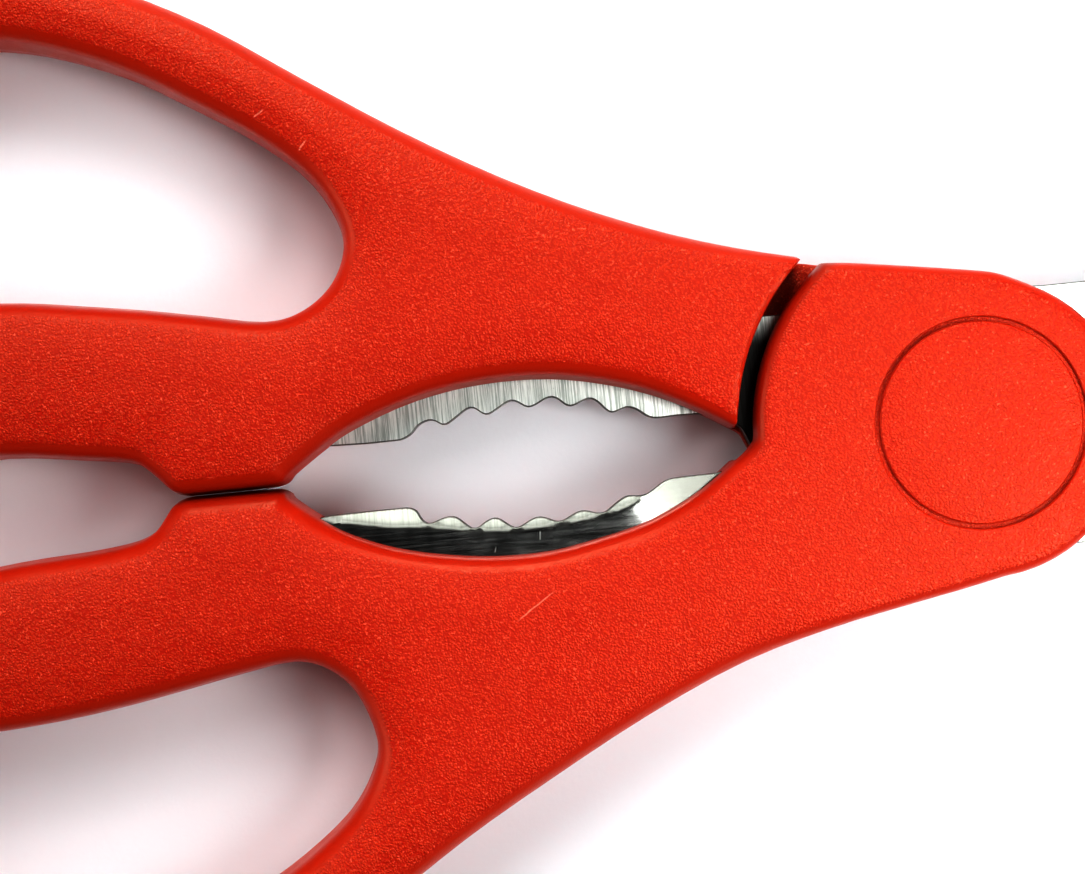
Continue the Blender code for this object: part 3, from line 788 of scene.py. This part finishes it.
def blade_steel(name, outer_sign, nicks):
    """Outer faces are polished along the blade, inner and ground faces brushed across it."""
    material, tree, shader = new_material(name)
    place, normal_z = millimetres(tree)
    outward = calc(tree, "MULTIPLY", normal_z, outer_sign)
    outer = ramp(tree, outward, *OUTER_NORMALS)
    facing = calc(tree, "ABSOLUTE", normal_z)
    across = noise(tree, stretched(tree, place, ACROSS_SCALES), 1.0, 4.0, 0.75)
    across_fine = noise(tree, stretched(tree, place, ACROSS_FINE_SCALES), 1.0, 2.0, 0.6)
    along = noise(tree, stretched(tree, place, ALONG_SCALES), 1.0, 4.0, 0.65)
    brushed = blend_colour(tree, ramp(tree, across, 0.36, 0.60), *BRUSHED_STEELS)
    polished = blend_colour(tree, ramp(tree, along, 0.3, 0.7), *POLISHED_STEELS)
    colour = blend_colour(tree, outer, brushed, polished)
    ground = blend_colour(tree, ramp(tree, facing, *HEEL_NORMALS), HEEL_STEEL, FACET_STEEL)
    slanted = calc(tree, "MULTIPLY", *(ramp(tree, facing, *ends) for ends in GROUND_NORMALS))
    colour = blend_colour(tree, calc(tree, "MULTIPLY", slanted, GROUND_STRENGTH), colour, ground)
    # Painted shade: the inner faces in the hub's gap are darkened nearly to black
    distance = pivot_distance(tree, place)
    in_gap = calc(
        tree, "MULTIPLY", ramp(tree, distance, *GAP_RADII[0]),
        ramp(tree, distance, *GAP_RADII[1], 0.8, 1.0))
    in_gap = calc(tree, "MULTIPLY", in_gap, side_of(tree, place, outer_sign, *GAP_START))
    gap_shade = calc(tree, "MULTIPLY", in_gap, ramp(tree, outward, *INNER_NORMALS))
    colour = blend_colour(tree, calc(tree, "MULTIPLY", gap_shade, GAP_SHADE_STRENGTH), colour, PAINTED_GAP_SHADE_GREY)
    colour = blend_colour(tree, ramp(tree, facing, *SIDE_NORMALS), colour, SIDE_STEEL)
    pits = ramp(tree, noise(tree, place, PIT_SCALE, 2.0, 0.6), *PIT_RANGE)
    colour = blend_colour(tree, calc(tree, "MULTIPLY", pits, PIT_STRENGTH), colour, PIT_STEEL)
    tree.links.new(colour, shader.inputs["Base Color"])
    cloud = noise(tree, place, CLOUD_SCALE, 4.0, 0.6)
    rough_brushed = calc(tree, "MULTIPLY_ADD", across_fine, 0.16, 0.30)
    rough_polished = calc(tree, "MULTIPLY_ADD", calc(tree, "MULTIPLY", along, cloud), 0.35, 0.07)
    rough = mix_value(tree, outer, rough_brushed, rough_polished)
    for mark in nicks:
        nick = calc(tree, "MULTIPLY", scratch(tree, place, *mark), NICK_ROUGHNESS)
        rough = calc(tree, "MAXIMUM", rough, nick)
    tree.links.new(rough, shader.inputs["Roughness"])
    lines = mix_value(
        tree, outer, calc(tree, "ADD", across, across_fine), calc(tree, "MULTIPLY", along, 0.4))
    set_bump(tree, shader, lines, BRUSH_DEPTH)
    shader.inputs["Metallic"].default_value = 1.0
    return material


def turned_steel(name):
    """Machined rings about the pivot axis, with a little staining."""
    material, tree, shader = new_material(name)
    place, _ = millimetres(tree)
    radius = pivot_distance(tree, place)
    rings = noise(tree, add(tree, "CombineXYZ", {0: radius}).outputs[0], 6.0, 3.0, 0.6)
    stain = noise(tree, place, 0.8, 4.0, 0.6)
    colour = blend_colour(tree, rings, *MACHINED_STEELS)
    colour = blend_colour(tree, ramp(tree, stain, 0.55, 0.8, 0.0, 0.5), colour, STAINED_STEEL)
    tree.links.new(colour, shader.inputs["Base Color"])
    tree.links.new(calc(tree, "MULTIPLY_ADD", stain, 0.25, 0.18), shader.inputs["Roughness"])
    set_bump(tree, shader, rings, TURNING_DEPTH)
    shader.inputs["Metallic"].default_value = 1.0
    return material


def nylon(name):
    material, tree, shader = new_material(name)
    place, _ = millimetres(tree)
    haze = noise(tree, place, 0.7, 4.0, 0.6)
    fine = noise(tree, place, 9.0, 3.0, 0.6)
    tree.links.new(blend_colour(tree, haze, *NYLONS), shader.inputs["Base Color"])
    tree.links.new(calc(tree, "MULTIPLY_ADD", fine, 0.2, 0.38), shader.inputs["Roughness"])
    set_bump(tree, shader, fine, NYLON_DEPTH)
    return material


def pale_floor(name):
    material, tree, shader = new_material(name)
    place, _ = millimetres(tree)
    fibres = noise(tree, place, 1.5, 4.0, 0.6)
    cloud = noise(tree, place, 0.02, 3.0, 0.5)
    clouded = tuple(FLOOR_CLOUD * c for c in FLOOR_COLOUR)
    tree.links.new(blend_colour(tree, cloud, FLOOR_COLOUR, clouded), shader.inputs["Base Color"])
    set_bump(tree, shader, fibres, FLOOR_DEPTH, 0.5)
    shader.inputs["Roughness"].default_value = 0.85
    shader.inputs["Specular IOR Level"].default_value = 0.2
    return material


# The pieces

def with_meeting_land(outer):
    """The flat where the two handles meet when closed, brought up to a hair's gap."""
    x, y = outer.T
    on_land = smoothstep(*LAND_LEFT, x) * (1.0 - smoothstep(*LAND_RIGHT, x))
    on_land *= smoothstep(*LAND_EDGE, y)
    return outer + np.stack([np.zeros(len(x)), LAND_ADVANCE * on_land], axis=1)


def recess_cutter():
    """The cap's recess with its eased lip, and the pivot bore under it."""
    lip = []
    for angle in np.linspace(math.pi / 2, 0, LIP_STEPS):
        # The offset keeps the lip's end apart from the wall below it
        radius = CAP_RECESS_RADIUS + CAP_LIP * (1 - math.cos(angle)) + LIP_OFFSET
        lip.append((radius, HALF - CAP_LIP * (1 - math.sin(angle))))
    return turned("recess_cutter", [
        (0.0, HALF + MM), (CAP_RECESS_RADIUS + CAP_LIP, HALF + MM), *lip,
        (CAP_RECESS_RADIUS, CAP_RECESS_FLOOR), (HUB_BORE_RADIUS, CAP_RECESS_FLOOR),
        (HUB_BORE_RADIUS, 0.0), (0.0, 0.0)])


def pivot_cap(name):
    """A flush cap with an eased rim, a shallow groove around it and a pocket under it."""
    rim = []
    for angle in np.linspace(0, math.pi / 2, LIP_STEPS):
        radius = CAP_FACE_RADIUS - CAP_LIP * (1 - math.sin(angle))
        rim.append((radius, HALF - CAP_LIP * (1 - math.cos(angle))))
    groove_floor = HALF - CAP_GROOVE_DEPTH
    return turned(name, [
        (0.0, HALF), (0.5 * CAP_RADIUS, HALF), *rim, (CAP_FACE_RADIUS, groove_floor),
        (CAP_SKIRT_RADIUS, groove_floor), (CAP_SKIRT_RADIUS, CAP_UNDER),
        (CAP_POCKET_RADIUS, CAP_UNDER), (CAP_POCKET_RADIUS, CAP_POCKET_ROOF),
        (0.0, CAP_POCKET_ROOF)])


def build_half(side, is_turned, holes, top, plastic, steel):
    node = side + "_handle"
    body = side + "_half"
    outer, finger_hole = (
        smooth_loop(without_short_edges(loop, SHORTEST_CUT_EDGE), HANDLE_SPACING)
        for loop in section_loops(node, HANDLE_CUT_HEIGHT, is_turned)[:2])
    blade_outer = blade_piece(side + "_blade", is_turned, holes, top, steel)
    handle = handle_solid(node + "_looks", with_meeting_land(outer), finger_hole)
    slot = prism(
        "slot_cutter", moved_in(blade_outer, -SLOT_CLEARANCE),
        BLADE_INNER - SLOT_UNDERCUT, BLADE_OUTER + SLOT_CLEARANCE)
    subtract(handle, slot, recess_cutter())
    finish_piece(handle, is_turned, HANDLE_SHARP_ANGLE, plastic, body, [node])
    cap = pivot_cap(side + "_pivot_cap_looks")
    finish_piece(
        cap, is_turned, HANDLE_SHARP_ANGLE, plastic, body, [side + "_pivot_cap"])


square_slot = NECK_SLOT_HALF * np.array([(-1, -1), (1, -1), (1, 1), (-1, 1)])
build_half(
    "front", False, [square_slot], front_top,
    red_plastic("front_red_plastic", 1.0, FRONT_SCRATCHES),
    blade_steel("front_blade_steel", 1.0, FRONT_NICKS))
build_half(
    "back", True, [circle(BLADE_BORE_RADIUS, BORE_SIDES)], back_top,
    red_plastic("back_red_plastic", -1.0, BACK_SCRATCHES),
    blade_steel("back_blade_steel", -1.0, []))

machined = turned_steel("machined_steel")
for node in ("pivot_screw", "pivot_nut", "front_washer", "back_washer", "spring_washer"):
    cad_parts[node].material_slots[0].material = machined
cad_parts["friction_washer"].material_slots[0].material = nylon("washer_nylon")


# Floor, light and camera

corners = [(FLOOR_REACH * x, FLOOR_REACH * y, 0) for x, y in ((-1, -1), (1, -1), (1, 1), (-1, 1))]
floor = mesh_object("floor", corners, [(0, 1, 2, 3)])
floor.data.materials.append(pale_floor("pale_floor"))
floor.location.z = CAD_BOX[0][2] - FLOOR_DROP


def softbox(name, azimuth, elevation, distance, width, height, power):
    """An area light aimed at the handles from a direction in degrees."""
    light = bpy.data.lights.new(name, "AREA")
    light.shape = "RECTANGLE"
    light.size = width
    light.size_y = height
    light.energy = power
    lamp = link(bpy.data.objects.new(name, light))
    turn, rise = math.radians(azimuth), math.radians(elevation)
    direction = Vector((
        math.cos(turn) * math.cos(rise), math.sin(turn) * math.cos(rise), math.sin(rise)))
    lamp.location = AIM + direction * distance
    lamp.rotation_euler = direction.to_track_quat("Z", "Y").to_euler()
    lamp.visible_camera = False


def room(pale, dark):
    """Pale walls near the horizon under a dark ceiling."""
    world = bpy.data.worlds.new("room")
    bpy.context.scene.world = world
    world.use_nodes = True
    tree = world.node_tree
    direction = add(tree, "SeparateXYZ", {0: add(tree, "TexCoord").outputs["Generated"]})
    level = ramp(tree, direction.outputs["Z"], 0.04, 0.20, pale, dark)
    tree.links.new(level, tree.nodes["Background"].inputs["Strength"])
    tree.nodes["Background"].inputs["Color"].default_value = (1.0, 1.0, 1.0, 1.0)


room(0.8, 0.0)
# Azimuth, elevation, distance, width, height and power
softbox("far_left", 120.0, 50.0, 3.0, 2.25, 1.5, 47.2)
softbox("far_low", 90.0, 35.0, 0.3, 0.16, 0.16, 0.72)
softbox("window", 10.0, 76.0, 0.8, 0.22, 0.22, 0.82)
softbox("left_low", 180.0, 20.0, 3.0, 2.25, 1.5, 36.0)
softbox("near_right", 338.0, 46.6, 0.157, 0.08, 0.08, 0.23)
softbox("right_low", 330.0, 35.0, 0.3, 0.16, 0.16, 0.145)

up_in_plane = Vector((math.sin(CAMERA_ROLL), math.cos(CAMERA_ROLL), 0.0))
straight_up = Vector((0.0, 0.0, 1.0))
towards_camera = math.cos(CAMERA_TILT) * straight_up - math.sin(CAMERA_TILT) * up_in_plane
camera_up = math.cos(CAMERA_TILT) * up_in_plane + math.sin(CAMERA_TILT) * straight_up
lens = bpy.data.cameras.new("camera")
lens.lens = CAMERA_LENS
lens.sensor_width = 36.0
lens.sensor_fit = "HORIZONTAL"
lens.clip_start = 0.005
lens.clip_end = 20.0
camera = link(bpy.data.objects.new("camera", lens))
camera_axes = Matrix((camera_up.cross(towards_camera), camera_up, towards_camera)).transposed()
camera.matrix_world = Matrix.Translation(
    CAMERA_TARGET + CAMERA_DISTANCE * towards_camera) @ camera_axes.to_4x4()
bpy.context.scene.camera = camera
bpy.context.scene.view_settings.view_transform = "Standard"
bpy.context.scene.view_settings.gamma = DISPLAY_GAMMA
